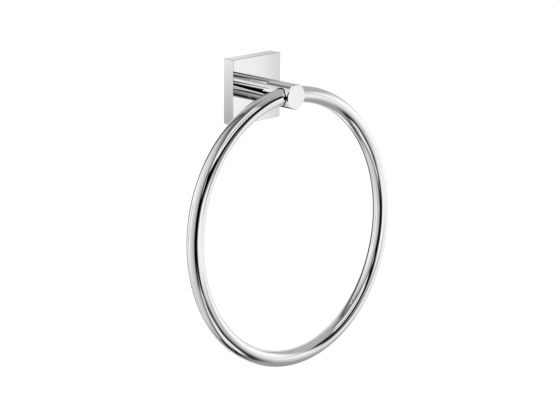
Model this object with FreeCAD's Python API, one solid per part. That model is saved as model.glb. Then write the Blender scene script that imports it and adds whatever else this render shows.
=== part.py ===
# Wall-mounted towel ring: a square cover plate, a round post and a fixed ring that leans out
# a little from the wall.
#
# Frame: millimetres. X runs to the right when facing the wall, Y runs into the wall and Z is up.
# The origin is the middle of the back of the plate, and the wall is the plane Y = 0, so all of the
# object lies at negative Y.
import FreeCAD, Part
import math
import os

V = FreeCAD.Vector
X_AXIS = V(1, 0, 0)
Y_AXIS = V(0, 1, 0)
Z_AXIS = V(0, 0, 1)

# Cover plate: a square casting, hollow behind.
PLATE_SIDE = 50.0
PLATE_DEPTH = 10.0
PLATE_WALL = 2.5
PLATE_WEB = 2.5
PLATE_CORNER_R = 0.8
PLATE_EDGE_BEVEL = 0.3
CAVITY_CORNER_R = 1.5

# Post: turned from bar, drilled across for the ring and along its axis for two screws.
POST_DIA = 19.0
POST_LENGTH = 41.0
POST_BEVEL = 0.6
SPIGOT_DIA = 9.0
SPIGOT_ACROSS_FLATS = 7.6

# Ring: tube bent to a circle, with its two ends meeting inside the post.
RING_RADIUS = 100.5
RING_TUBE_DIA = 12.5
RING_TUBE_WALL = 1.2
RING_BEHIND_FRONT = 8.5
RING_LEAN_DEG = 4.0
RING_END_GAP = 0.4
JOINING_PIN_LENGTH = 14.0
TUBE_OPEN_PAST_PIN = 1.0

# Wall bracket: a casting that the cover hooks on, with slots for two pan-head wall screws.
BRACKET_THICK = 4.5
BRACKET_BEVEL = 2.0
BRACKET_CORNER_R = 2.0
BRACKET_CENTRE_HOLE_DIA = 15.0
WALL_SLOT_SPACING = 27.0
WALL_SLOT_WIDTH = 4.5
WALL_SLOT_LENGTH = 6.5
HOOK_WIDTH = 24.0
HOOK_DEPTH = 3.0

# Screw that holds the post to the cover, with its spring washer. Threads are left plain.
FIXING_THREAD_DIA = 6.0
FIXING_SCREW_LENGTH = 16.0
FIXING_HEAD_DIA = 11.0
FIXING_HEAD_HEIGHT = 3.0
FIXING_SOCKET = 4.0
FIXING_SOCKET_DEPTH = 1.9
WASHER_DIA = 11.8
WASHER_THICK = 1.2
WASHER_SLIT = 0.8
WASHER_SLIT_ANGLE_DEG = 25.0

# Screw that clamps the ring. It runs in the same thread as the fixing screw.
LOCK_SCREW_LENGTH = 7.0
LOCK_SOCKET = 3.0
LOCK_SOCKET_DEPTH = 3.0

# Grub screw in the underside of the cover, with the boss that it runs in.
GRUB_THREAD_DIA = 4.0
GRUB_SCREW_LENGTH = 8.0
GRUB_TIP_DIA = 1.0
GRUB_SOCKET = 2.0
GRUB_SOCKET_DEPTH = 2.2
GRUB_FROM_WALL = 3.2
GRUB_BOSS_HEIGHT = 3.0
GRUB_BOSS_WALL = 2.4

# Clearances, each on one side.
THREAD_CLEARANCE = 0.05
SPIGOT_CLEARANCE = 0.1
SPIGOT_SHORT_OF_WEB = 0.3
WASHER_CLEARANCE = 0.2
RING_BORE_CLEARANCE = 0.15
PIN_CLEARANCE = 0.1
HOOK_CLEARANCE = 0.15
BRACKET_SIDE_CLEARANCE = 3.0
BRACKET_TOP_CLEARANCE = 3.0
HOOK_LIFT_ROOM = 3.0

# Places that follow from the sizes above.
PLATE_HALF = PLATE_SIDE / 2
CAVITY_HALF = PLATE_HALF - PLATE_WALL
WEB_BACK_Y = PLATE_WEB - PLATE_DEPTH
PLATE_FRONT_Y = -PLATE_DEPTH
POST_FRONT_Y = PLATE_FRONT_Y - POST_LENGTH
SPIGOT_END_Y = WEB_BACK_Y - SPIGOT_SHORT_OF_WEB
FIXING_HEAD_Y = WEB_BACK_Y + WASHER_THICK
FIXING_THREAD_R = FIXING_THREAD_DIA / 2
RING_Y = POST_FRONT_Y + RING_BEHIND_FRONT
RING_TUBE_R = RING_TUBE_DIA / 2
TUBE_BORE_R = RING_TUBE_R - RING_TUBE_WALL
LOCK_TIP_Y = RING_Y + RING_TUBE_R
BRACKET_HALF_WIDTH = CAVITY_HALF - BRACKET_SIDE_CLEARANCE
BRACKET_TOP = CAVITY_HALF - BRACKET_TOP_CLEARANCE
GRUB_BOSS_TOP_Z = GRUB_BOSS_HEIGHT - CAVITY_HALF
BRACKET_BOTTOM = -GRUB_BOSS_TOP_Z - HOOK_LIFT_ROOM

# The ring's own directions: it hangs from the post's axis and leans away from the wall.
LEAN = math.radians(RING_LEAN_DEG)
RING_TOP = V(0, RING_Y, 0)
RING_DOWN = V(0, -math.sin(LEAN), -math.cos(LEAN))
RING_CENTRE = RING_TOP + RING_DOWN * RING_RADIUS
RING_AXIS = X_AXIS.cross(RING_DOWN)


def turned(profile):
    """A piece turned about the Y axis, from (radius, y) points that start and end on the axis."""
    points = [V(radius, y, 0) for radius, y in profile]
    face = Part.Face(Part.makePolygon(points + points[:1]))
    return face.revolve(V(0, 0, 0), Y_AXIS, 360)


def is_along(edge, direction):
    """True for a straight edge that runs along a direction."""
    return isinstance(edge.Curve, Part.Line) and abs(edge.Curve.Direction.dot(direction)) > 0.999999


def rounded_block(half_width, bottom_z, top_z, front_y, back_y, corner_r):
    """A block centred on X = 0, with its four edges along Y rounded."""
    size = V(2 * half_width, back_y - front_y, top_z - bottom_z)
    block = Part.makeBox(size.x, size.y, size.z, V(-half_width, front_y, bottom_z))
    return block.makeFillet(corner_r, [edge for edge in block.Edges if is_along(edge, Y_AXIS)])


def hexagon_socket(across_flats, mouth, direction, depth):
    """The hollow for a hexagon key, from the middle of its mouth along a direction."""
    corner_r = across_flats / math.sqrt(3)
    across = direction.cross(X_AXIS)
    corners = []
    for step in range(6):
        turn = math.radians(60 * step)
        corners.append(mouth + (X_AXIS * math.cos(turn) + across * math.sin(turn)) * corner_r)
    return Part.Face(Part.makePolygon(corners + corners[:1])).extrude(direction * depth)


def double_d(diameter, across_flats, front_y, back_y):
    """A round bar along Y with a flat above and a flat below."""
    length = back_y - front_y
    bar = Part.makeCylinder(diameter / 2, length, V(0, front_y, 0), Y_AXIS)
    between_flats = Part.makeBox(diameter, length, across_flats, V(-diameter / 2, front_y, -across_flats / 2))
    return bar.common(between_flats)


def bevel_height(front_height, y):
    """The height of a bevelled edge of the bracket at a depth y. It is lowest at the wall."""
    return front_height - BRACKET_BEVEL * (1 + y / BRACKET_THICK)


def along_ring(section, start_deg, turn_deg):
    """Sweep a section, drawn where the ring passes the post's axis, round the ring's circle."""
    section = section.copy()
    section.rotate(RING_CENTRE, RING_AXIS, start_deg)
    return section.revolve(RING_CENTRE, RING_AXIS, turn_deg)


def disc(radius):
    """A round section of the ring where it passes the post's axis."""
    return Part.Face(Part.Wire(Part.makeCircle(radius, RING_TOP, X_AXIS)))


def make_cover_plate():
    """The square casting. It is open behind, and has a hook inside its top wall, a boss for the
    grub screw inside its bottom wall and a keyed hole for the post."""
    plate = rounded_block(PLATE_HALF, -PLATE_HALF, PLATE_HALF, PLATE_FRONT_Y, 0, PLATE_CORNER_R)
    front_edges = [edge for edge in plate.Edges if abs(edge.BoundBox.YMax - PLATE_FRONT_Y) < 1e-6]
    plate = plate.makeChamfer(PLATE_EDGE_BEVEL, front_edges)
    plate = plate.cut(rounded_block(CAVITY_HALF, -CAVITY_HALF, CAVITY_HALF, WEB_BACK_Y, 1, CAVITY_CORNER_R))

    left = -HOOK_WIDTH / 2
    in_wall = CAVITY_HALF + PLATE_WALL / 2
    hook_outline = [V(left, -HOOK_CLEARANCE, in_wall), V(left, -HOOK_DEPTH, in_wall)]
    for y in (-HOOK_DEPTH, -HOOK_CLEARANCE):
        hook_outline.append(V(left, y, bevel_height(BRACKET_TOP, y) + HOOK_CLEARANCE))
    hook = Part.Face(Part.makePolygon(hook_outline + hook_outline[:1])).extrude(X_AXIS * HOOK_WIDTH)

    boss_half = GRUB_THREAD_DIA / 2 + GRUB_BOSS_WALL
    boss_low = V(-boss_half, WEB_BACK_Y - PLATE_WEB / 2, -in_wall)
    boss = Part.makeBox(2 * boss_half, -boss_low.y, GRUB_BOSS_TOP_Z - boss_low.z, boss_low)
    plate = plate.fuse([hook, boss]).removeSplitter()

    grub_r = GRUB_THREAD_DIA / 2 + THREAD_CLEARANCE
    grub_start = V(0, -GRUB_FROM_WALL, -PLATE_HALF - 1)
    grub_hole = Part.makeCylinder(grub_r, GRUB_BOSS_TOP_Z + 1 - grub_start.z, grub_start, Z_AXIS)
    keyed_hole = double_d(SPIGOT_DIA + 2 * SPIGOT_CLEARANCE, SPIGOT_ACROSS_FLATS + 2 * SPIGOT_CLEARANCE,
                          PLATE_FRONT_Y - 1, WEB_BACK_Y + 1)
    return plate.cut(grub_hole).cut(keyed_hole)


def make_post():
    """The turned post. Its flat front has a small bevel, and a spigot with two flats keys it in
    the cover. The ring's cross hole is wide enough for the tube's curve."""
    post_r = POST_DIA / 2
    body = turned([
        (0, PLATE_FRONT_Y),
        (post_r, PLATE_FRONT_Y),
        (post_r, POST_FRONT_Y + POST_BEVEL),
        (post_r - POST_BEVEL, POST_FRONT_Y),
        (0, POST_FRONT_Y),
    ])
    spigot = double_d(SPIGOT_DIA, SPIGOT_ACROSS_FLATS, PLATE_FRONT_Y - POST_BEVEL, SPIGOT_END_Y)
    post = body.fuse(spigot).removeSplitter()

    tube_drop = RING_RADIUS - math.sqrt(RING_RADIUS ** 2 - post_r ** 2)
    cross_r = RING_TUBE_R + RING_BORE_CLEARANCE + tube_drop / 2
    cross_start = RING_TOP + RING_DOWN * (tube_drop / 2) - X_AXIS * POST_DIA
    cross_hole = Part.makeCylinder(cross_r, 2 * POST_DIA, cross_start, X_AXIS)
    screw_r = FIXING_THREAD_R + THREAD_CLEARANCE
    screw_hole = Part.makeCylinder(screw_r, SPIGOT_END_Y - RING_Y + 1, RING_TOP, Y_AXIS)
    return post.cut(screw_hole).cut(cross_hole)


def make_ring():
    """The bent tube. Its two ends face each other inside the post. The tube is sealed there, so
    only the ends are open in the model, as far as the joining pin reaches, and the rest is solid."""
    gap_deg = math.degrees(RING_END_GAP / RING_RADIUS)
    open_deg = math.degrees((JOINING_PIN_LENGTH + 2 * TUBE_OPEN_PAST_PIN) / RING_RADIUS)
    ring = along_ring(disc(RING_TUBE_R), gap_deg / 2, 360 - gap_deg)
    return ring.cut(along_ring(disc(TUBE_BORE_R), -open_deg / 2, open_deg))


def make_ring_joining_pin():
    """The straight pin inside both tube ends. It lines them up and backs the tube's wall where the
    lock screw presses on it, and is thin enough for the curve of the tube."""
    half = JOINING_PIN_LENGTH / 2
    bend = RING_RADIUS - math.sqrt(RING_RADIUS ** 2 - half ** 2)
    middle = RING_TOP + RING_DOWN * (bend / 2)
    return Part.makeCylinder(TUBE_BORE_R - bend / 2 - PIN_CLEARANCE, 2 * half, middle - X_AXIS * half, X_AXIS)


def make_ring_lock_screw():
    """The headless screw in the post's axial thread. Its flat tip bears on the back of the ring."""
    tail_y = LOCK_TIP_Y + LOCK_SCREW_LENGTH
    screw = Part.makeCylinder(FIXING_THREAD_R, LOCK_SCREW_LENGTH, V(0, LOCK_TIP_Y, 0), Y_AXIS)
    return screw.cut(hexagon_socket(LOCK_SOCKET, V(0, tail_y, 0), -Y_AXIS, LOCK_SOCKET_DEPTH))


def make_post_fixing_screw():
    """The screw with a low round head that comes from behind the cover into the post."""
    head_end_y = FIXING_HEAD_Y + FIXING_HEAD_HEIGHT
    tip_y = FIXING_HEAD_Y - FIXING_SCREW_LENGTH
    screw = turned([
        (0, tip_y),
        (FIXING_THREAD_R, tip_y),
        (FIXING_THREAD_R, FIXING_HEAD_Y),
        (FIXING_HEAD_DIA / 2, FIXING_HEAD_Y),
        (FIXING_HEAD_DIA / 2, head_end_y),
        (0, head_end_y),
    ])
    return screw.cut(hexagon_socket(FIXING_SOCKET, V(0, head_end_y, 0), -Y_AXIS, FIXING_SOCKET_DEPTH))


def make_lock_washer():
    """The spring washer under that screw's head, split by one slanting cut."""
    start = V(0, WEB_BACK_Y, 0)
    outer = Part.makeCylinder(WASHER_DIA / 2, WASHER_THICK, start, Y_AXIS)
    washer = outer.cut(Part.makeCylinder(FIXING_THREAD_R + WASHER_CLEARANCE, WASHER_THICK, start, Y_AXIS))
    slit_corner = V(-WASHER_SLIT / 2, -1.5 * WASHER_THICK, 0)
    slit = Part.makeBox(WASHER_SLIT, 3 * WASHER_THICK, WASHER_DIA, slit_corner)
    slit.rotate(V(0, 0, 0), Z_AXIS, WASHER_SLIT_ANGLE_DEG)
    slit.translate(V(0, WEB_BACK_Y + WASHER_THICK / 2, 0))
    return washer.cut(slit)


def wall_slot(middle_x):
    """The hollow of one slot for a wall screw. It runs along X, through the bracket."""
    radius = WALL_SLOT_WIDTH / 2
    straight = WALL_SLOT_LENGTH - WALL_SLOT_WIDTH
    start = V(middle_x - straight / 2, -BRACKET_THICK, 0)
    middle = Part.makeBox(straight, BRACKET_THICK, WALL_SLOT_WIDTH, start - Z_AXIS * radius)
    ends = []
    for end in (start, start + X_AXIS * straight):
        ends.append(Part.makeCylinder(radius, BRACKET_THICK, end, Y_AXIS))
    return middle.fuse(ends).removeSplitter()


def make_wall_bracket():
    """The casting behind the cover. Its top and bottom edges are bevelled, narrowest at the wall,
    so that the hook and the grub screw both draw the cover back."""
    plate = rounded_block(BRACKET_HALF_WIDTH, -BRACKET_BOTTOM, BRACKET_TOP, -BRACKET_THICK, 0,
                          BRACKET_CORNER_R)
    left = -BRACKET_HALF_WIDTH
    outline = [
        V(left, 0, bevel_height(BRACKET_TOP, 0)),
        V(left, -BRACKET_THICK, BRACKET_TOP),
        V(left, -BRACKET_THICK, -BRACKET_BOTTOM),
        V(left, 0, -bevel_height(BRACKET_BOTTOM, 0)),
    ]
    bevelled = Part.Face(Part.makePolygon(outline + outline[:1])).extrude(X_AXIS * 2 * BRACKET_HALF_WIDTH)
    plate = plate.common(bevelled)

    front = V(0, -BRACKET_THICK, 0)
    plate = plate.cut(Part.makeCylinder(BRACKET_CENTRE_HOLE_DIA / 2, BRACKET_THICK, front, Y_AXIS))
    for side in (-1, 1):
        plate = plate.cut(wall_slot(side * WALL_SLOT_SPACING / 2))
    return plate


def make_plate_grub_screw():
    """The headless screw in the underside of the cover. Its cone bears on the bracket's bevel."""
    thread_r = GRUB_THREAD_DIA / 2
    tip_r = GRUB_TIP_DIA / 2
    tip_z = -bevel_height(BRACKET_BOTTOM, -GRUB_FROM_WALL - tip_r)
    tail_z = tip_z - GRUB_SCREW_LENGTH
    cone_height = thread_r - tip_r
    outline = [
        V(0, -GRUB_FROM_WALL, tail_z),
        V(thread_r, -GRUB_FROM_WALL, tail_z),
        V(thread_r, -GRUB_FROM_WALL, tip_z - cone_height),
        V(tip_r, -GRUB_FROM_WALL, tip_z),
        V(0, -GRUB_FROM_WALL, tip_z),
    ]
    face = Part.Face(Part.makePolygon(outline + outline[:1]))
    screw = face.revolve(V(0, -GRUB_FROM_WALL, 0), Z_AXIS, 360)
    return screw.cut(hexagon_socket(GRUB_SOCKET, outline[0], Z_AXIS, GRUB_SOCKET_DEPTH))


pieces = {
    "wall_bracket": make_wall_bracket(),
    "cover_plate": make_cover_plate(),
    "plate_grub_screw": make_plate_grub_screw(),
    "post": make_post(),
    "lock_washer": make_lock_washer(),
    "post_fixing_screw": make_post_fixing_screw(),
    "ring": make_ring(),
    "ring_joining_pin": make_ring_joining_pin(),
    "ring_lock_screw": make_ring_lock_screw(),
}

os.makedirs("parts", exist_ok=True)
for name, shape in pieces.items():
    shape.exportStep("parts/" + name + ".step")
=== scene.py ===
import math

import bmesh
import bpy
from mathutils import Matrix, Vector


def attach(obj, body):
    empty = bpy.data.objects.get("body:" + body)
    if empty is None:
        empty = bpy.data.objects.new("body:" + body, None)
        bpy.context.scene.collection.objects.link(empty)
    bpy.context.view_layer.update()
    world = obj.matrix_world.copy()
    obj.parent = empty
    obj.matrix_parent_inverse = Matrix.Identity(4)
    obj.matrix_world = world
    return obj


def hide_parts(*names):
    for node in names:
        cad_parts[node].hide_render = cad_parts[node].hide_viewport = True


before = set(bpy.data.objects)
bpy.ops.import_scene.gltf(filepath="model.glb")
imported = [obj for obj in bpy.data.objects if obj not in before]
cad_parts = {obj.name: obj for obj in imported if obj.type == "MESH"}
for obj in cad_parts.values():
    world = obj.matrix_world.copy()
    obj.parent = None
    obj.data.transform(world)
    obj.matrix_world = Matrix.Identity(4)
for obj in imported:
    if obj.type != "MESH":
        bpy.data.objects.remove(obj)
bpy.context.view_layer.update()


# ---- Wall bracket ----
# A small zinc die casting that stays on the wall behind the cover. It is cast with two slots for
# the wall screws and a round opening for the head of the post's screw, and its top and bottom
# edges slope in towards the wall, where the cover's hook and grub screw grip. It is left bare.
MM = 0.001
BRACKET_HALF_WIDTH = 19.5
BRACKET_THICK = 4.5
BRACKET_TOP, BRACKET_BOTTOM = 19.5, -16.5
BRACKET_SLOPE = 2.0
BRACKET_CORNER_R = 2.0
CAST_EDGE_R = 0.3
CENTRE_HOLE_R = 7.5
WALL_SLOT_X = 13.5
WALL_SLOT_R = 2.25
WALL_SLOT_STRAIGHT = 2.0
SLOT_FLARE = 0.4
EJECTOR_MARK_R = 1.8
EJECTOR_MARK_DEPTH = 0.2
EJECTOR_MARKS = ((-15.5, 12.5), (15.5, 12.5), (-15.5, -10.0), (15.5, -10.0))
MOTTLE_SIZE = 7.0
CAST_SKIN_SIZE = 0.7
SHARP_FROM_DEG = 32
PAST_FACE = 1.0  # how far a cutting shape runs past the face that it starts from


def loft(name, rings, closed=False):
    """A mesh object skinned over rings of points in millimetres. Open ends are capped."""
    points = [Vector(point) * MM for ring in rings for point in ring]
    count = len(rings[0])
    spans = len(rings) if closed else len(rings) - 1
    faces = []
    for span in range(spans):
        here, there = span * count, (span + 1) % len(rings) * count
        for i in range(count):
            j = (i + 1) % count
            faces.append((here + i, here + j, there + j, there + i))
    if not closed:
        faces.append(tuple(reversed(range(count))))
        faces.append(tuple(range(spans * count, spans * count + count)))
    mesh = bpy.data.meshes.new(name)
    mesh.from_pydata(points, [], faces)
    piece = bpy.data.objects.new(name, mesh)
    bpy.context.scene.collection.objects.link(piece)
    return piece


def rounded_outline(half_x, low_z, high_z, corner_r, y, steps=6):
    """A rectangle across the Y axis with rounded corners, as one ring of points."""
    ring = []
    for corner, (side_x, side_z) in enumerate(((1, 1), (-1, 1), (-1, -1), (1, -1))):
        middle_x = side_x * (half_x - corner_r)
        middle_z = high_z - corner_r if side_z > 0 else low_z + corner_r
        for step in range(steps + 1):
            turn = math.radians(90 * (corner + step / steps))
            ring.append((middle_x + corner_r * math.cos(turn), y,
                         middle_z + corner_r * math.sin(turn)))
    return ring


def circle_outline(radius, y, x=0.0, z=0.0, steps=64, straight=0.0):
    """A circle across the Y axis, or a slot along X where it has a straight length."""
    ring = []
    for step in range(steps):
        turn = 2 * math.pi * (step + 0.5) / steps
        side = math.copysign(straight / 2, math.cos(turn))
        ring.append((x + side + radius * math.cos(turn), y, z + radius * math.sin(turn)))
    return ring


def carve(piece, tool, operation="DIFFERENCE"):
    """Cut a tool's shape out of a piece, or join it on, and use the tool up."""
    cut = piece.modifiers.new("carve", "BOOLEAN")
    cut.object, cut.operation, cut.solver = tool, operation, "EXACT"
    graph = bpy.context.evaluated_depsgraph_get()
    carved = bpy.data.meshes.new_from_object(piece.evaluated_get(graph))
    piece.modifiers.clear()
    piece.data = carved
    bpy.data.objects.remove(tool)


def dress(piece, *materials):
    """Give a piece its materials, and shade it smooth with its flats flat and its edges crisp."""
    piece.data.materials.clear()
    for material in materials:
        piece.data.materials.append(material)
    for face in piece.data.polygons:
        face.use_smooth = True
    piece.data.set_sharp_from_angle(angle=math.radians(SHARP_FROM_DEG))
    piece.modifiers.new("flats", "WEIGHTED_NORMAL").keep_sharp = True


def linear(srgb):
    """An sRGB hex colour as the linear colour that a shader takes."""
    channels = [int(srgb[start:start + 2], 16) / 255 for start in (1, 3, 5)]
    return [c / 12.92 if c <= 0.04045 else ((c + 0.055) / 1.055) ** 2.4 for c in channels] + [1.0]


def add(tree, kind, inputs=(), **settings):
    """Add a node with its settings. An input is a value, or another node's output to link."""
    node = tree.nodes.new("ShaderNode" + kind)
    for setting, value in settings.items():
        setattr(node, setting, value)
    for socket, value in dict(inputs).items():
        if isinstance(value, bpy.types.NodeSocket):
            tree.links.new(value, node.inputs[socket])
        else:
            node.inputs[socket].default_value = value
    return node


def start_material(name):
    """An empty material, with its tree and the coordinates of the piece in millimetres."""
    material = bpy.data.materials.new(name)
    material.use_nodes = True
    tree = material.node_tree
    tree.nodes.clear()
    place = add(tree, "TexCoord").outputs["Object"]
    place_mm = add(tree, "VectorMath", {0: place, "Scale": 1 / MM}, operation="SCALE").outputs[0]
    return material, tree, place_mm


# Bare zinc as it leaves the die: matt and pale grey, a little mottled where the metal chilled,
# with a fine orange-peel skin.
zinc_casting, tree, place = start_material("zinc_die_casting_bare")
mottle = add(tree, "TexNoise", {"Vector": place, "Scale": 1 / MOTTLE_SIZE, "Detail": 4.0,
                                "Roughness": 0.6})
mottled = add(tree, "Mix", {0: mottle.outputs[0], 6: linear("#B7B8B8"), 7: linear("#D2D2CF")},
              data_type="RGBA")
chill = add(tree, "MapRange", {0: mottle.outputs[0], 3: 0.42, 4: 0.62})
skin = add(tree, "TexNoise", {"Vector": place, "Scale": 1 / CAST_SKIN_SIZE, "Detail": 3.0})
relief = add(tree, "Bump", {"Height": skin.outputs[0], "Distance": 0.05 * MM, "Strength": 0.5})
shader = add(tree, "BsdfPrincipled", {"Base Color": mottled.outputs[2], "Metallic": 1.0,
                                      "Roughness": chill.outputs[0], "Normal": relief.outputs[0]})
add(tree, "OutputMaterial", {"Surface": shader.outputs[0]})

bracket_rings = []
for y, inset in ((0, CAST_EDGE_R), (-CAST_EDGE_R, 0), (CAST_EDGE_R - BRACKET_THICK, 0),
                 (-BRACKET_THICK, CAST_EDGE_R)):
    sloped = BRACKET_SLOPE * (1 + y / BRACKET_THICK)
    bracket_rings.append(rounded_outline(
        BRACKET_HALF_WIDTH - inset, BRACKET_BOTTOM + sloped + inset, BRACKET_TOP - sloped - inset,
        BRACKET_CORNER_R, y))
bracket = loft("wall_bracket_casting", bracket_rings)

flared = ((PAST_FACE, SLOT_FLARE + PAST_FACE), (0, SLOT_FLARE), (-SLOT_FLARE, 0),
          (SLOT_FLARE - BRACKET_THICK, 0), (-BRACKET_THICK, SLOT_FLARE),
          (-BRACKET_THICK - PAST_FACE, SLOT_FLARE + PAST_FACE))
centre_rings = [circle_outline(CENTRE_HOLE_R + wider, y) for y, wider in flared]
carve(bracket, loft("centre_hole", centre_rings))
for side in (-1, 1):
    slot_rings = [circle_outline(WALL_SLOT_R + wider, y, x=side * WALL_SLOT_X, steps=48,
                                 straight=WALL_SLOT_STRAIGHT) for y, wider in flared]
    carve(bracket, loft("wall_slot", slot_rings))
for mark_x, mark_z in EJECTOR_MARKS:
    mark_rings = [circle_outline(EJECTOR_MARK_R, y, x=mark_x, z=mark_z, steps=32)
                  for y in (-EJECTOR_MARK_DEPTH, PAST_FACE)]
    carve(bracket, loft("ejector_mark", mark_rings))
dress(bracket, zinc_casting)
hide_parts("wall_bracket")
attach(bracket, "root")


# ---- Cover plate ----
# A square zinc die casting, hollow behind, that hides the bracket. Outside it is ground flat,
# buffed and chrome plated. Inside, the plate lies on the raw casting, with a hook under the top
# wall, a boss for the grub screw in the bottom wall and a keyed hole for the post.
PLATE_HALF = 25.0
PLATE_DEPTH = 10.0
PLATE_CORNER_R = 0.8
LEVEL_BEVEL = 0.4
UPRIGHT_BEVEL = 0.13
PLATE_BACK_EDGE_R = 0.15
PLATE_WALL = 2.5
PLATE_WEB = 2.5
CAVITY_CORNER_R = 1.5
CAVITY_FLOOR_R = 0.8
HOOK_HALF_WIDTH = 12.0
HOOK_DEPTH = 3.0
HOOK_CLEARANCE = 0.15
GRUB_FROM_WALL = 3.2
GRUB_BOSS_HALF = 4.4
GRUB_BOSS_HEIGHT = 3.0
GRUB_BOSS_DRAFT = 0.4
GRUB_BOSS_BACK = -0.1
GRUB_HOLE_R = 2.05
GRUB_HOLE_FLARE = 0.35
GRUB_HOLE_DEPTH = 8.0
KEYED_HOLE_R = 4.6
KEYED_HOLE_HALF_FLAT = 3.9
PLATING_SEAM = 0.05  # how near an edge a face may lie and still take the hidden finish
FILM_PATCH_SIZE = 18.0
RAW_GRAIN_SIZE = 0.5
STAIN_SIZE = 9.0


def polished_chrome(name, ripple_mm, ripple_um):
    """Chrome plate over buffed metal: a clear mirror. Buffing leaves a ripple that is too slight
    to see by itself, and handling leaves a film that dulls it in soft patches."""
    material, tree, place = start_material(name)
    film = add(tree, "TexNoise", {"Vector": place, "Scale": 1 / FILM_PATCH_SIZE, "Detail": 5.0,
                                  "Roughness": 0.62})
    dulled = add(tree, "MapRange", {0: film.outputs[0], 1: 0.35, 2: 0.75, 3: 0.006, 4: 0.03})
    tint = add(tree, "Mix", {0: film.outputs[0], 6: linear("#F4F4F4"), 7: linear("#F0F1F1")},
               data_type="RGBA")
    ripple = add(tree, "TexNoise", {"Vector": place, "Scale": 1 / ripple_mm, "Detail": 1.0})
    relief = add(tree, "Bump", {"Height": ripple.outputs[0], "Strength": 1.0,
                                "Distance": ripple_um * 0.001 * MM})
    shader = add(tree, "BsdfPrincipled", {"Base Color": tint.outputs[2], "Metallic": 1.0,
                                          "Roughness": dulled.outputs[0],
                                          "Normal": relief.outputs[0]})
    add(tree, "OutputMaterial", {"Surface": shader.outputs[0]})
    return material


cover_chrome = polished_chrome("chrome_plate_on_buffed_casting", ripple_mm=9.0, ripple_um=2.0)

# The inside of the casting is plated with the rest but never buffed, so it is a dull satin with
# the die's fine grain.
inner_plating, tree, place = start_material("chrome_plate_on_raw_casting")
grain = add(tree, "TexNoise", {"Vector": place, "Scale": 1 / RAW_GRAIN_SIZE, "Detail": 4.0})
stain = add(tree, "TexNoise", {"Vector": place, "Scale": 1 / STAIN_SIZE, "Detail": 3.0})
stained = add(tree, "Mix", {0: stain.outputs[0], 6: linear("#A9ABAD"), 7: linear("#C9CBCC")},
              data_type="RGBA")
satin = add(tree, "MapRange", {0: stain.outputs[0], 3: 0.26, 4: 0.42})
relief = add(tree, "Bump", {"Height": grain.outputs[0], "Distance": 0.04 * MM, "Strength": 0.5})
shader = add(tree, "BsdfPrincipled", {"Base Color": stained.outputs[2], "Metallic": 1.0,
                                      "Roughness": satin.outputs[0], "Normal": relief.outputs[0]})
add(tree, "OutputMaterial", {"Surface": shader.outputs[0]})


def quarter_round(radius, steps=5):
    """Pairs of (in from the side, back from the face) round a filleted edge, from face to side."""
    pairs = []
    for step in range(steps + 1):
        turn = math.radians(90 * step / steps)
        pairs.append((radius * (1 - math.sin(turn)), radius * (1 - math.cos(turn))))
    return pairs


def square_outline(half, corner_r, y):
    """A square ring of points across the Y axis, with rounded corners."""
    return rounded_outline(half, -half, half, corner_r, y)


cavity_half = PLATE_HALF - PLATE_WALL
web_back = PLATE_WEB - PLATE_DEPTH
# The front bevel is wider along the top and bottom edges than along the upright ones.
bevel_front = rounded_outline(PLATE_HALF - UPRIGHT_BEVEL, LEVEL_BEVEL - PLATE_HALF,
                              PLATE_HALF - LEVEL_BEVEL, PLATE_CORNER_R - LEVEL_BEVEL, -PLATE_DEPTH)
bevel_back = [(x, y + (UPRIGHT_BEVEL if abs(x) > abs(z) else LEVEL_BEVEL), z)
              for x, y, z in square_outline(PLATE_HALF, PLATE_CORNER_R, -PLATE_DEPTH)]
cover_rings = [bevel_front, bevel_back]
for inset, back in reversed(quarter_round(PLATE_BACK_EDGE_R, 3)):
    cover_rings.append(square_outline(PLATE_HALF - inset, PLATE_CORNER_R - inset, -back))
for inset, back in quarter_round(PLATE_BACK_EDGE_R, 3):
    cover_rings.append(square_outline(cavity_half + inset, CAVITY_CORNER_R + inset, -back))
for inset, back in reversed(quarter_round(CAVITY_FLOOR_R)):
    cover_rings.append(square_outline(cavity_half - inset, CAVITY_CORNER_R - inset,
                                      web_back + back))
cover = loft("cover_plate_shell", cover_rings)

slope_rate = BRACKET_SLOPE / BRACKET_THICK
hook_low = BRACKET_TOP - BRACKET_SLOPE + HOOK_CLEARANCE
in_wall = cavity_half + PLATE_WALL / 2
hook_profile = ((-HOOK_CLEARANCE, in_wall), (-HOOK_DEPTH, in_wall),
                (-HOOK_DEPTH, hook_low + slope_rate * HOOK_DEPTH),
                (-HOOK_CLEARANCE, hook_low + slope_rate * HOOK_CLEARANCE))
hook_rings = [[(x, y, z) for y, z in hook_profile] for x in (-HOOK_HALF_WIDTH, HOOK_HALF_WIDTH)]
carve(cover, loft("hook", hook_rings), "UNION")
boss_top_half, boss_top = GRUB_BOSS_HALF - GRUB_BOSS_DRAFT, GRUB_BOSS_HEIGHT - cavity_half
boss_profile = ((-GRUB_BOSS_HALF, -in_wall), (GRUB_BOSS_HALF, -in_wall),
                (boss_top_half, boss_top), (-boss_top_half, boss_top))
boss_rings = [[(x, y, z) for x, z in boss_profile]
              for y in (web_back - PLATE_WEB / 2, GRUB_BOSS_BACK)]
carve(cover, loft("boss", boss_rings), "UNION")


def upright(rings, y):
    """Rings drawn across the Y axis, turned to stand across the Z axis at a depth y."""
    return [[(x, y - z, along) for x, along, z in ring] for ring in rings]


hole_profile = ((-PLATE_HALF - PAST_FACE, GRUB_HOLE_R + GRUB_HOLE_FLARE + PAST_FACE),
                (-PLATE_HALF, GRUB_HOLE_R + GRUB_HOLE_FLARE),
                (-PLATE_HALF + GRUB_HOLE_FLARE, GRUB_HOLE_R),
                (-PLATE_HALF + GRUB_HOLE_DEPTH, GRUB_HOLE_R))
grub_hole = [circle_outline(radius, along) for along, radius in hole_profile]
carve(cover, loft("grub_hole", upright(grub_hole, -GRUB_FROM_WALL)))


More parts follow.
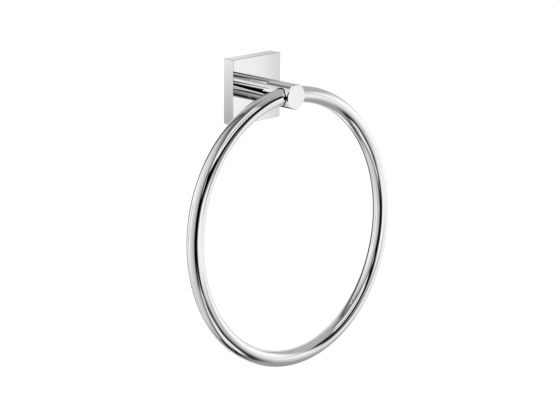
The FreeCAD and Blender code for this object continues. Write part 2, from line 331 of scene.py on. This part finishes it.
def flatted_outline(radius, half_flat, y, steps=64):
    """A circle across the Y axis with a flat above and a flat below."""
    ring = []
    for step in range(steps):
        turn = 2 * math.pi * (step + 0.5) / steps
        reach = min(radius, half_flat / max(abs(math.sin(turn)), 1e-6))
        ring.append((reach * math.cos(turn), y, reach * math.sin(turn)))
    return ring


keyed_rings = [flatted_outline(KEYED_HOLE_R, KEYED_HOLE_HALF_FLAT, y)
               for y in (-PLATE_DEPTH - PAST_FACE, web_back + PAST_FACE)]
carve(cover, loft("keyed_hole", keyed_rings))
dress(cover, cover_chrome, inner_plating)
for face in cover.data.polygons:
    middle = face.center / MM
    in_cavity = max(abs(middle.x), abs(middle.z)) < cavity_half + PLATING_SEAM
    face.material_index = 1 if in_cavity and middle.y > web_back - PLATING_SEAM else 0
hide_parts("cover_plate")
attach(cover, "root")


# ---- Cover's grub screw ----
# A stainless M4 grub screw, rolled thread with a turned cone point, run up through the cover's
# underside until the point bears on the bracket's lower slope and draws the cover to the wall.
GRUB_R = 2.0
GRUB_PITCH = 0.7
GRUB_TAIL, GRUB_TIP = -24.14, -16.14
GRUB_TAIL_R = 1.6
GRUB_CONE_R = 1.9
GRUB_CONE_LENGTH = 1.5
GRUB_TIP_R = 0.5
GRUB_SOCKET = 2.0
GRUB_SOCKET_DEPTH = 2.2
GRUB_STEPS = 32
SOCKET_CONE_TIP_R = 0.1
ROLLED_LINE_SIZE = 0.35
# A thread's form, in shares of its pitch. A flank sinks at its rate from the edge of the crest.
THREAD_DEPTH = 0.54
THREAD_RUN_OUT = 0.6
THREAD_LEVEL = 1 / 8
FLANK_RATE = 2.53
CREST_FLAT = 0.115

# Bright stainless: rolled threads are smooth and a little brown, with fine lines along the turn.
stainless, tree, place = start_material("stainless_steel_bright")
lines = add(tree, "TexNoise", {"Vector": place, "Scale": 1 / ROLLED_LINE_SIZE, "Detail": 2.0})
toned = add(tree, "Mix", {0: lines.outputs[0], 6: linear("#B3B2AF"), 7: linear("#D3D2CF")},
            data_type="RGBA")
rubbed = add(tree, "MapRange", {0: lines.outputs[0], 3: 0.16, 4: 0.3})
shader = add(tree, "BsdfPrincipled", {"Base Color": toned.outputs[2], "Metallic": 1.0,
                                      "Roughness": rubbed.outputs[0]})
add(tree, "OutputMaterial", {"Surface": shader.outputs[0]})


def threaded_rings(radius, pitch, start, end, start_r, end_r, steps):
    """Rings for a rod with a rolled screw thread along Y. Its ends run out to smaller radii."""
    depth = THREAD_DEPTH * pitch
    run_out = THREAD_RUN_OUT * pitch
    count = math.ceil((end - start) / (THREAD_LEVEL * pitch))
    rings = []
    for level in range(count + 1):
        y = start + (end - start) * level / count
        limit = min(radius, start_r + (y - start) * (radius - start_r) / run_out,
                    end_r + (end - y) * (radius - end_r) / run_out)
        ring = []
        for step in range(steps):
            turn = 2 * math.pi * step / steps
            phase = (y / pitch - step / steps) % 1
            sunk = min(1.0, max(0.0, FLANK_RATE * abs(phase - 0.5) - CREST_FLAT))
            reach = min(limit, radius - depth * sunk)
            ring.append((reach * math.cos(turn), y, reach * math.sin(turn)))
        rings.append(ring)
    return rings


def hexagon_socket(across_flats, mouth, bottom):
    """Rings for the hollow of a hexagon key, with a drilled cone at its bottom."""
    corner_r = across_flats / math.sqrt(3)
    into = math.copysign(1, bottom - mouth)
    levels = ((mouth - into * PAST_FACE, corner_r), (bottom, corner_r),
              (bottom + into * corner_r / 3, SOCKET_CONE_TIP_R))
    return [[(reach * math.cos(math.radians(60 * i)), y, reach * math.sin(math.radians(60 * i)))
             for i in range(6)] for y, reach in levels]


grub_rings = threaded_rings(GRUB_R, GRUB_PITCH, GRUB_TAIL, GRUB_TIP - GRUB_CONE_LENGTH,
                            GRUB_TAIL_R, GRUB_CONE_R, GRUB_STEPS)
grub_turns = [2 * math.pi * step / GRUB_STEPS for step in range(GRUB_STEPS)]
grub_rings.append([(GRUB_TIP_R * math.cos(turn), GRUB_TIP, GRUB_TIP_R * math.sin(turn))
                   for turn in grub_turns])
grub_screw = loft("cover_grub_screw", upright(grub_rings, -GRUB_FROM_WALL))
grub_socket = hexagon_socket(GRUB_SOCKET, GRUB_TAIL, GRUB_TAIL + GRUB_SOCKET_DEPTH)
carve(grub_screw, loft("grub_socket", upright(grub_socket, -GRUB_FROM_WALL)))
dress(grub_screw, stainless)
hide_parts("plate_grub_screw")
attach(grub_screw, "root")


# ---- Post ----
# A brass bar turned to 19 mm, faced off flat with a small bevel on the front edge, cross drilled
# for the ring and drilled and tapped along its axis. A spigot with two flats keys it in the
# cover's hole. It is buffed and chrome plated.
POST_R = 9.5
POST_FRONT = -51.0
POST_BEVEL = 0.6
POST_BASE_BREAK = 0.12
SPIGOT_R = 4.5
SPIGOT_HALF_FLAT = 3.8
SPIGOT_END = -7.8
SPIGOT_BREAK = 0.3
CROSS_HOLE_R = 6.85
CROSS_HOLE_HALF = 12.0
CROSS_HOLE_Y, CROSS_HOLE_Z = -42.516, -0.224
SCREW_HOLE_R = 3.05
POST_STEPS = 192
DRILL_MARK_SIZE = 0.4

post_chrome = polished_chrome("chrome_plate_on_turned_brass", ripple_mm=11.0, ripple_um=1.2)

# Plate hardly reaches into a drilled hole, so its wall is dull and left uneven by the drill.
# Its very dark grey is painted shade, for the dark gap round the ring where it enters the post.
bore_plating_and_painted_shade, tree, place = start_material("thin_plate_and_painted_shade_in_drilled_hole")
drilled = add(tree, "TexNoise", {"Vector": place, "Scale": 1 / DRILL_MARK_SIZE, "Detail": 3.0})
dim_painted_shade = add(tree, "Mix", {0: drilled.outputs[0], 6: linear("#2E2E2D"), 7: linear("#4A4947")},
          data_type="RGBA")
shader = add(tree, "BsdfPrincipled", {"Base Color": dim_painted_shade.outputs[2], "Metallic": 1.0,
                                      "Roughness": 0.5})
add(tree, "OutputMaterial", {"Surface": shader.outputs[0]})

post_rings = []
for inset, back in ((POST_BEVEL, 0), (0, POST_BEVEL)):
    post_rings.append(circle_outline(POST_R - inset, POST_FRONT + back, steps=POST_STEPS))
for inset, back in ((0, POST_BASE_BREAK), (POST_BASE_BREAK, 0)):
    post_rings.append(circle_outline(POST_R - inset, -PLATE_DEPTH - back, steps=POST_STEPS))
for y, inset in ((-PLATE_DEPTH, 0), (SPIGOT_END - SPIGOT_BREAK, 0), (SPIGOT_END, SPIGOT_BREAK)):
    post_rings.append(flatted_outline(SPIGOT_R - inset, SPIGOT_HALF_FLAT - inset, y,
                                      steps=POST_STEPS))
post = loft("post_body", post_rings)


def sideways(rings, y, z):
    """Rings drawn across the Y axis, turned to stand across the X axis at a place (y, z)."""
    return [[(along, y + x, z + up) for x, along, up in ring] for ring in rings]


cross_rings = [circle_outline(CROSS_HOLE_R, along, steps=128)
               for along in (-CROSS_HOLE_HALF, CROSS_HOLE_HALF)]
carve(post, loft("cross_hole", sideways(cross_rings, CROSS_HOLE_Y, CROSS_HOLE_Z)))
screw_rings = [circle_outline(SCREW_HOLE_R, y) for y in (CROSS_HOLE_Y, SPIGOT_END + PAST_FACE)]
carve(post, loft("screw_hole", screw_rings))
# The cross hole's wall takes the bore plating, whose very dark tone is painted shade.
dress(post, post_chrome, bore_plating_and_painted_shade)
for face in post.data.polygons:
    middle = face.center / MM - Vector((0, CROSS_HOLE_Y, CROSS_HOLE_Z))
    # The wall of the cross hole is what lies this near its axis and faces square to it.
    in_bore = math.hypot(middle.y, middle.z) < CROSS_HOLE_R + PLATING_SEAM
    face.material_index = 1 if in_bore and abs(face.normal.x) < 0.01 else 0
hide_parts("post")
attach(post, "root")


# ---- Spring washer ----
# A split washer of square steel wire, coiled, hardened and zinc plated. It sits between the
# cover's web and the head of the post's screw, pressed flat, with its slit at the top.
WASHER_R, WASHER_HOLE_R = 5.9, 3.2
WASHER_BACK, WASHER_FRONT = -6.3, -7.5
WASHER_SLIT = 0.8
WASHER_SLANT = 0.47
WASHER_EDGE = 0.1
WASHER_STEPS = 96
WIRE_LINE_SIZE = 0.6

# Zinc plate on hardened wire: grey with a cool passivated tint, drawn along the wire.
spring_steel, tree, place = start_material("spring_steel_zinc_plated")
drawn = add(tree, "TexNoise", {"Vector": place, "Scale": 1 / WIRE_LINE_SIZE, "Detail": 3.0})
tinted = add(tree, "Mix", {0: drawn.outputs[0], 6: linear("#8B9097"), 7: linear("#B2B5B6")},
             data_type="RGBA")
shader = add(tree, "BsdfPrincipled", {"Base Color": tinted.outputs[2], "Metallic": 1.0,
                                      "Roughness": 0.34})
add(tree, "OutputMaterial", {"Surface": shader.outputs[0]})

wire = []
for radius, edge_in in ((WASHER_HOLE_R, WASHER_EDGE), (WASHER_R, -WASHER_EDGE)):
    wire += [(radius + edge_in, WASHER_FRONT), (radius, WASHER_FRONT + WASHER_EDGE),
             (radius, WASHER_BACK - WASHER_EDGE), (radius + edge_in, WASHER_BACK)]
wire = wire[:4] + wire[:3:-1]
half_slit = WASHER_SLIT / 2 / ((WASHER_R + WASHER_HOLE_R) / 2)
washer_rings = []
for step in range(WASHER_STEPS + 1):
    turn = math.pi / 2 + half_slit + (2 * math.pi - 2 * half_slit) * step / WASHER_STEPS
    ring = []
    for radius, y in wire:
        slanted = turn + WASHER_SLANT * (y - (WASHER_BACK + WASHER_FRONT) / 2) / radius
        ring.append((radius * math.cos(slanted), y, radius * math.sin(slanted)))
    washer_rings.append(ring)
washer = loft("spring_washer", washer_rings)
dress(washer, spring_steel)
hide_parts("lock_washer")
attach(washer, "root")


# ---- Post's screw ----
# An M6 steel screw with a low round head and a 4 mm hexagon socket, cold headed, rolled and zinc
# plated. It comes from behind the cover and pulls the post's shoulder against the front.
FIXING_R = 3.0
FIXING_PITCH = 1.0
FIXING_TIP = -22.3
FIXING_TIP_R = 2.4
HEAD_UNDER, HEAD_TOP = -6.3, -3.3
HEAD_R = 5.5
HEAD_EDGE_R = 0.6
HEAD_BREAK = 0.2
HEAD_SOCKET = 4.0
HEAD_SOCKET_DEPTH = 1.9
SCREW_STEPS = 48
BLOOM_SIZE = 2.5

# Zinc plated steel, clear passivated: bright blue-grey, with a slightly uneven bloom.
zinc_plate, tree, place = start_material("steel_zinc_plated")
bloom = add(tree, "TexNoise", {"Vector": place, "Scale": 1 / BLOOM_SIZE, "Detail": 4.0})
bloomed = add(tree, "Mix", {0: bloom.outputs[0], 6: linear("#A3A8B0"), 7: linear("#CBCED0")},
              data_type="RGBA")
satin = add(tree, "MapRange", {0: bloom.outputs[0], 3: 0.2, 4: 0.36})
shader = add(tree, "BsdfPrincipled", {"Base Color": bloomed.outputs[2], "Metallic": 1.0,
                                      "Roughness": satin.outputs[0]})
add(tree, "OutputMaterial", {"Surface": shader.outputs[0]})

fixing_rings = threaded_rings(FIXING_R, FIXING_PITCH, FIXING_TIP, HEAD_UNDER,
                              FIXING_TIP_R, FIXING_R, SCREW_STEPS)
fixing_rings.append(circle_outline(HEAD_R - HEAD_BREAK, HEAD_UNDER, steps=SCREW_STEPS))
fixing_rings.append(circle_outline(HEAD_R, HEAD_UNDER + HEAD_BREAK, steps=SCREW_STEPS))
for inset, back in reversed(quarter_round(HEAD_EDGE_R)):
    fixing_rings.append(circle_outline(HEAD_R - inset, HEAD_TOP - back, steps=SCREW_STEPS))
fixing_screw = loft("post_fixing_screw_threaded", fixing_rings)
head_socket = hexagon_socket(HEAD_SOCKET, HEAD_TOP, HEAD_TOP - HEAD_SOCKET_DEPTH)
carve(fixing_screw, loft("head_socket", head_socket))
dress(fixing_screw, zinc_plate)
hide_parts("post_fixing_screw")
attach(fixing_screw, "root")


# ---- Ring ----
# Brass tube, bent to a circle and run through the post, inside which its two ends meet. It leans
# out from the wall at its foot by a few degrees. It is buffed all round and chrome plated.
RING_R = 100.5
TUBE_R = 6.2
TUBE_BORE_R = 5.05
RING_Y = -42.5
RING_LEAN_DEG = 4.0
RING_END_GAP = 0.4
TUBE_OPEN = 8.0
TUBE_END_BREAK = 0.2
RING_SPANS = 480
TUBE_STEPS = 64

lean = math.radians(RING_LEAN_DEG)
ring_down = Vector((0, -math.sin(lean), -math.cos(lean)))
ring_middle = Vector((0, RING_Y, 0)) + ring_down * RING_R


def tube_ring(along, radius):
    """The tube's round section at a length along the ring's centreline from its top, in mm."""
    turn = along / RING_R
    outward = Vector((math.sin(turn), 0, 0)) - ring_down * math.cos(turn)
    across = Vector((0, -math.cos(lean), math.sin(lean)))
    middle = ring_middle + outward * RING_R
    return [middle + (outward * math.cos(2 * math.pi * i / TUBE_STEPS)
                      + across * math.sin(2 * math.pi * i / TUBE_STEPS)) * radius
            for i in range(TUBE_STEPS)]


ring_chrome = polished_chrome("chrome_plate_on_bent_brass_tube", ripple_mm=14.0, ripple_um=1.5)
start = RING_END_GAP / 2
end = 2 * math.pi * RING_R - start
ring_rings = [tube_ring(TUBE_OPEN, TUBE_BORE_R), tube_ring(start, TUBE_BORE_R),
              tube_ring(start, TUBE_R - TUBE_END_BREAK)]
first, last = start + TUBE_END_BREAK, end - TUBE_END_BREAK
for span in range(RING_SPANS + 1):
    ring_rings.append(tube_ring(first + (last - first) * span / RING_SPANS, TUBE_R))
ring_rings += [tube_ring(end, TUBE_R - TUBE_END_BREAK), tube_ring(end, TUBE_BORE_R),
               tube_ring(end + start - TUBE_OPEN, TUBE_BORE_R)]
ring = loft("ring_tube", ring_rings)
dress(ring, ring_chrome)
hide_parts("ring")
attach(ring, "root")


# ---- Ring's joining pin ----
# A straight brass pin, turned and left bare, pushed half into each end of the tube inside the
# post. It lines the ends up and backs the thin wall under the lock screw.
PIN_R = 4.82
PIN_HALF = 7.0
PIN_Y, PIN_Z = -42.508, -0.122
PIN_BREAK = 0.5
TOOL_LINE_SCALE = 0.16

# Turned brass: warm yellow, with the tool's fine rings round it, drawn every 2 mm, which is
# coarser than the real feed of 0.1 mm, so that they show.
turned_brass, tree, place = start_material("brass_turned_bare")
feed = add(tree, "TexWave", {"Vector": place, "Scale": TOOL_LINE_SCALE, "Distortion": 0.4,
                             "Detail": 2.0}, bands_direction="X")
warmth = add(tree, "Mix", {0: feed.outputs[1], 6: linear("#C79A4B"), 7: linear("#DDB669")},
             data_type="RGBA")
relief = add(tree, "Bump", {"Height": feed.outputs[1], "Distance": 0.01 * MM, "Strength": 0.6})
shader = add(tree, "BsdfPrincipled", {"Base Color": warmth.outputs[2], "Metallic": 1.0,
                                      "Roughness": 0.27, "Normal": relief.outputs[0]})
add(tree, "OutputMaterial", {"Surface": shader.outputs[0]})

pin_rings = [circle_outline(PIN_R - inset, along) for along, inset in
             ((-PIN_HALF, PIN_BREAK), (PIN_BREAK - PIN_HALF, 0), (PIN_HALF - PIN_BREAK, 0),
              (PIN_HALF, PIN_BREAK))]
pin = loft("ring_joining_pin_turned", sideways(pin_rings, PIN_Y, PIN_Z))
dress(pin, turned_brass)
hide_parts("ring_joining_pin")
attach(pin, "root")


# ---- Ring's lock screw ----
# A short M6 grub screw with a flat tip and a 3 mm hexagon socket, zinc plated. It runs in the
# post's axial thread, ahead of the fixing screw, and clamps the ring.
LOCK_TIP, LOCK_TAIL = -36.25, -29.25
LOCK_TIP_R, LOCK_TAIL_R = 2.2, 2.5
LOCK_SOCKET = 3.0
LOCK_SOCKET_DEPTH = 3.0

lock_rings = threaded_rings(FIXING_R, FIXING_PITCH, LOCK_TIP, LOCK_TAIL, LOCK_TIP_R, LOCK_TAIL_R,
                            SCREW_STEPS)
lock_screw = loft("ring_lock_screw_threaded", lock_rings)
lock_socket = hexagon_socket(LOCK_SOCKET, LOCK_TAIL, LOCK_TAIL - LOCK_SOCKET_DEPTH)
carve(lock_screw, loft("lock_socket", lock_socket))
dress(lock_screw, zinc_plate)
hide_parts("ring_lock_screw")
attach(lock_screw, "root")


# ---- Studio ----
# A pale floor as far below the ring as a real one, plain white light from all round, and a round
# glowing tent whose light and dark bands are painted reflections. They stand for the white cloth,
# grey sheets and black flags that chrome is photographed in, and lie where the chrome's streaks
# need them. Only a mirror finish sees the tent: it lights nothing and hides nothing.
FLOOR_Z = -1.2
FLOOR_HALF = 15.0
FLOOR_LIFT = 0.12
SPECKLE_SIZE = 60.0
TENT_R = 0.8
TENT_MIDDLE = Vector((0, -45, -100)) * MM
TENT_SUBDIVISIONS = 5

# Matt white paint, faintly uneven, lifted a little for the camera so that it reads as white.
floor_paint, tree, place = start_material("floor_matt_white")
speckle = add(tree, "TexNoise", {"Vector": place, "Scale": 1 / SPECKLE_SIZE, "Detail": 2.0})
painted = add(tree, "Mix", {0: speckle.outputs[0], 6: linear("#F6F6F5"), 7: linear("#F9F9F9")},
              data_type="RGBA")
matt = add(tree, "BsdfDiffuse", {"Color": painted.outputs[2]})
rays = add(tree, "LightPath")
lift = add(tree, "Math", {0: rays.outputs["Is Camera Ray"], 1: FLOOR_LIFT},
           operation="MULTIPLY")
glow = add(tree, "Emission", {"Strength": lift.outputs[0]})
both = add(tree, "AddShader", {0: matt.outputs[0], 1: glow.outputs[0]})
add(tree, "OutputMaterial", {"Surface": both.outputs[0]})
floor_corners = [(side_x * FLOOR_HALF, side_y * FLOOR_HALF, FLOOR_Z)
                 for side_x, side_y in ((-1, -1), (1, -1), (1, 1), (-1, 1))]
floor_mesh = bpy.data.meshes.new("floor")
floor_mesh.from_pydata(floor_corners, [], [(0, 1, 2, 3)])
floor_mesh.materials.append(floor_paint)
floor = bpy.data.objects.new("floor", floor_mesh)
bpy.context.scene.collection.objects.link(floor)
floor.visible_glossy = False

world = bpy.data.worlds.new("studio")
bpy.context.scene.world = world
world.use_nodes = True
tree = world.node_tree
tree.nodes.clear()
sky = add(tree, "Background", {"Color": (1.0, 1.0, 1.0, 1.0), "Strength": 1.0})
add(tree, "OutputWorld", {"Surface": sky.outputs[0]})

# The tent glows evenly, and each band of painted reflection laid over it takes its place with soft
# edges.
painted_reflection_tent, tree, place = start_material("light_tent_painted_reflections")
outward = add(tree, "VectorMath", {0: place}, operation="NORMALIZE").outputs[0]
direction = add(tree, "SeparateXYZ", {0: outward}).outputs
azimuth = add(tree, "Math", {0: direction[0], 1: direction[1]}, operation="ARCTAN2").outputs[0]
elevation = add(tree, "Math", {0: direction[2]}, operation="ARCSINE").outputs[0]


def soft_edge(tree, angle, centre_deg, half_deg, soft_deg):
    """1 within half_deg of a centre, fading to 0 over soft_deg more. Angles wrap at 180."""
    off = add(tree, "Math", {0: angle, 1: math.radians(centre_deg)}, operation="SUBTRACT")
    wrapped = add(tree, "Math", {0: off.outputs[0], 1: -math.pi, 2: math.pi}, operation="WRAP")
    apart = add(tree, "Math", {0: wrapped.outputs[0]}, operation="ABSOLUTE")
    return add(tree, "MapRange", {0: apart.outputs[0], 1: math.radians(half_deg + soft_deg),
                                  2: math.radians(half_deg), 3: 0.0, 4: 1.0},
               interpolation_type="SMOOTHSTEP").outputs[0]


# Each band of painted reflection on the tent, named for the studio sheet it stands for, seen from
# its middle: where it is (azimuth from straight into the wall, positive to the right, and
# elevation), its half width and half height, how far its edges fade beyond them across and up, all
# in degrees, and its tone. A band covers those listed before it.
REFLECTION_BASE_TONE = 0.885
PAINTED_REFLECTION_BANDS = (
    (0, 87, 180, 74, 4, 5, 0.16),  # ceiling
    (0, -90, 178, 15, 4, 5, 0),  # floor under the ring
    (-107, 0, 20, 70, 17, 14, 0.05),  # black flag on the left
    (-23, 0, 60, 45, 66, 37, 0.7),  # wide grey window at the back
    (-32, 7, 38, 3, 4, 47, 1.01),  # its bright middle
    (-47, 3, 2, 9, 1.3, 5, 0),  # black bar in it
    (-43, -9, 1, 0, 3, 11, 0.42),  # shade beside the bar
    (3, 9, 11, 0, 2, 72, 0),  # black flag at the back
    (-2, 68, 2, 45, 16, 16, 0.01),  # black flag high at the back
    (106, 3, 16, 34, 16, 5, 1.08),  # window on the right
    (32, -25, 9, 3, 3, 72, 1.09),  # narrow window at the back, on the right
    (95, 49, 37, 16, 90, 18, 0.47),  # grey sheet high on the right
    (103, -58, 45, 6, 4, 45, 0.35),  # grey sheet low on the right
    (154, -51, 1, 2, 17, 40, 0),  # dark sheet low in front
    (173, -44, 17, 2, 5, 11, 0.02),  # black arm low in front
    (28, -23, 12, 13, 4, 4, 0),  # black bar across the narrow window
    (-22, -65, 21, 0, 13, 14, 0.16),  # dark floor at the back
    (-174, 50, 34, 17, 4, 6, 1),  # white sheet high in front
    (-126, 64, 13, 5, 12, 6, 0.18),  # shade on its left
    (171, 50, 1, 1, 53, 5, 0),  # black line across both
    (130, -3, 1, 10, 3, 4, 0.72),  # shade right of the front sheet
    (149, -1, 14, 12, 5, 8, 0.97),  # front sheet
    (145, -17, 4, 2, 8, 2, 0.5),  # dark edge under the sheet
    (154, 6, 9, 8, 8, 7, 0.01),  # foot of the beam across the front
    (180, 25, 43, 9, 2, 2, 0),  # beam across the front
    (144, 33, 3, 3, 3, 3, 0.05),  # beam's right end
    (-143, 4, 19, 31, 4, 5, 0),  # black slot round the camera
    (-135, 30, 1, 0, 3, 9, 1.04),  # white brow over the slot
    (176, 0, 1, 0, 35, 22, 1.04),  # front window
    (-167, -35, 0, 0, 44, 19, 0),  # black arm in front
    (-140, -90, 0, 45, 9, 33, 1.09),  # white sheet under the camera
)
seen = add(tree, "RGB").outputs[0]
seen.default_value = (REFLECTION_BASE_TONE, REFLECTION_BASE_TONE, REFLECTION_BASE_TONE, 1.0)
for band_az, band_el, half_az, half_el, soft_az, soft_el, tone in PAINTED_REFLECTION_BANDS:
    wide = soft_edge(tree, azimuth, band_az, half_az, soft_az)
    tall = soft_edge(tree, elevation, band_el, half_el, soft_el)
    share = add(tree, "Math", {0: wide, 1: tall}, operation="MULTIPLY").outputs[0]
    seen = add(tree, "Mix", {0: share, 6: seen, 7: (tone, tone, tone, 1.0)},
               data_type="RGBA").outputs[2]
# The bands glow only as painted reflections. The tent is no lamp.
lit = add(tree, "Emission", {"Color": seen, "Strength": 1.0})
add(tree, "OutputMaterial", {"Surface": lit.outputs[0]})
painted_reflection_tent.cycles.emission_sampling = "NONE"

tent_mesh = bpy.data.meshes.new("light_tent")
hoops = bmesh.new()
bmesh.ops.create_icosphere(hoops, subdivisions=TENT_SUBDIVISIONS, radius=TENT_R)
hoops.to_mesh(tent_mesh)
hoops.free()
tent_mesh.materials.append(painted_reflection_tent)
tent = bpy.data.objects.new("light_tent", tent_mesh)
bpy.context.scene.collection.objects.link(tent)
tent.location = TENT_MIDDLE
tent.visible_camera = tent.visible_diffuse = tent.visible_transmission = False
tent.visible_shadow = tent.visible_volume_scatter = False


# ---- Camera ----
# Fitted to the photograph's plate, post and ring: to the left of the piece, a little above it.
CAMERA_AZIMUTH_DEG = 46.01
CAMERA_ELEVATION_DEG = 15.63
CAMERA_ROLL_DEG = 0.72
CAMERA_DISTANCE = 1.3
CAMERA_LENS, CAMERA_SENSOR = 110.58, 36.0
CAMERA_NEAR, CAMERA_FAR = 0.05, 60.0
CAMERA_AIM = Vector((-1.11, -36.75, -89.09)) * MM

side, height, roll = (math.radians(a) for a in
                      (CAMERA_AZIMUTH_DEG, CAMERA_ELEVATION_DEG, CAMERA_ROLL_DEG))
backwards = Vector((-math.sin(side) * math.cos(height), -math.cos(side) * math.cos(height),
                    math.sin(height)))
level = Vector((math.cos(side), -math.sin(side), 0))
upward = backwards.cross(level)
camera_x = level * math.cos(roll) + upward * math.sin(roll)
camera_y = upward * math.cos(roll) - level * math.sin(roll)
camera = bpy.data.objects.new("camera", bpy.data.cameras.new("camera"))
bpy.context.scene.collection.objects.link(camera)
turned_to = Matrix([camera_x, camera_y, backwards]).transposed().to_4x4()
camera.matrix_world = Matrix.Translation(CAMERA_AIM + backwards * CAMERA_DISTANCE) @ turned_to
camera.data.sensor_fit = "HORIZONTAL"
camera.data.sensor_width = CAMERA_SENSOR
camera.data.lens = CAMERA_LENS
camera.data.clip_start, camera.data.clip_end = CAMERA_NEAR, CAMERA_FAR
bpy.context.scene.camera = camera
bpy.context.scene.view_settings.view_transform = "Standard"
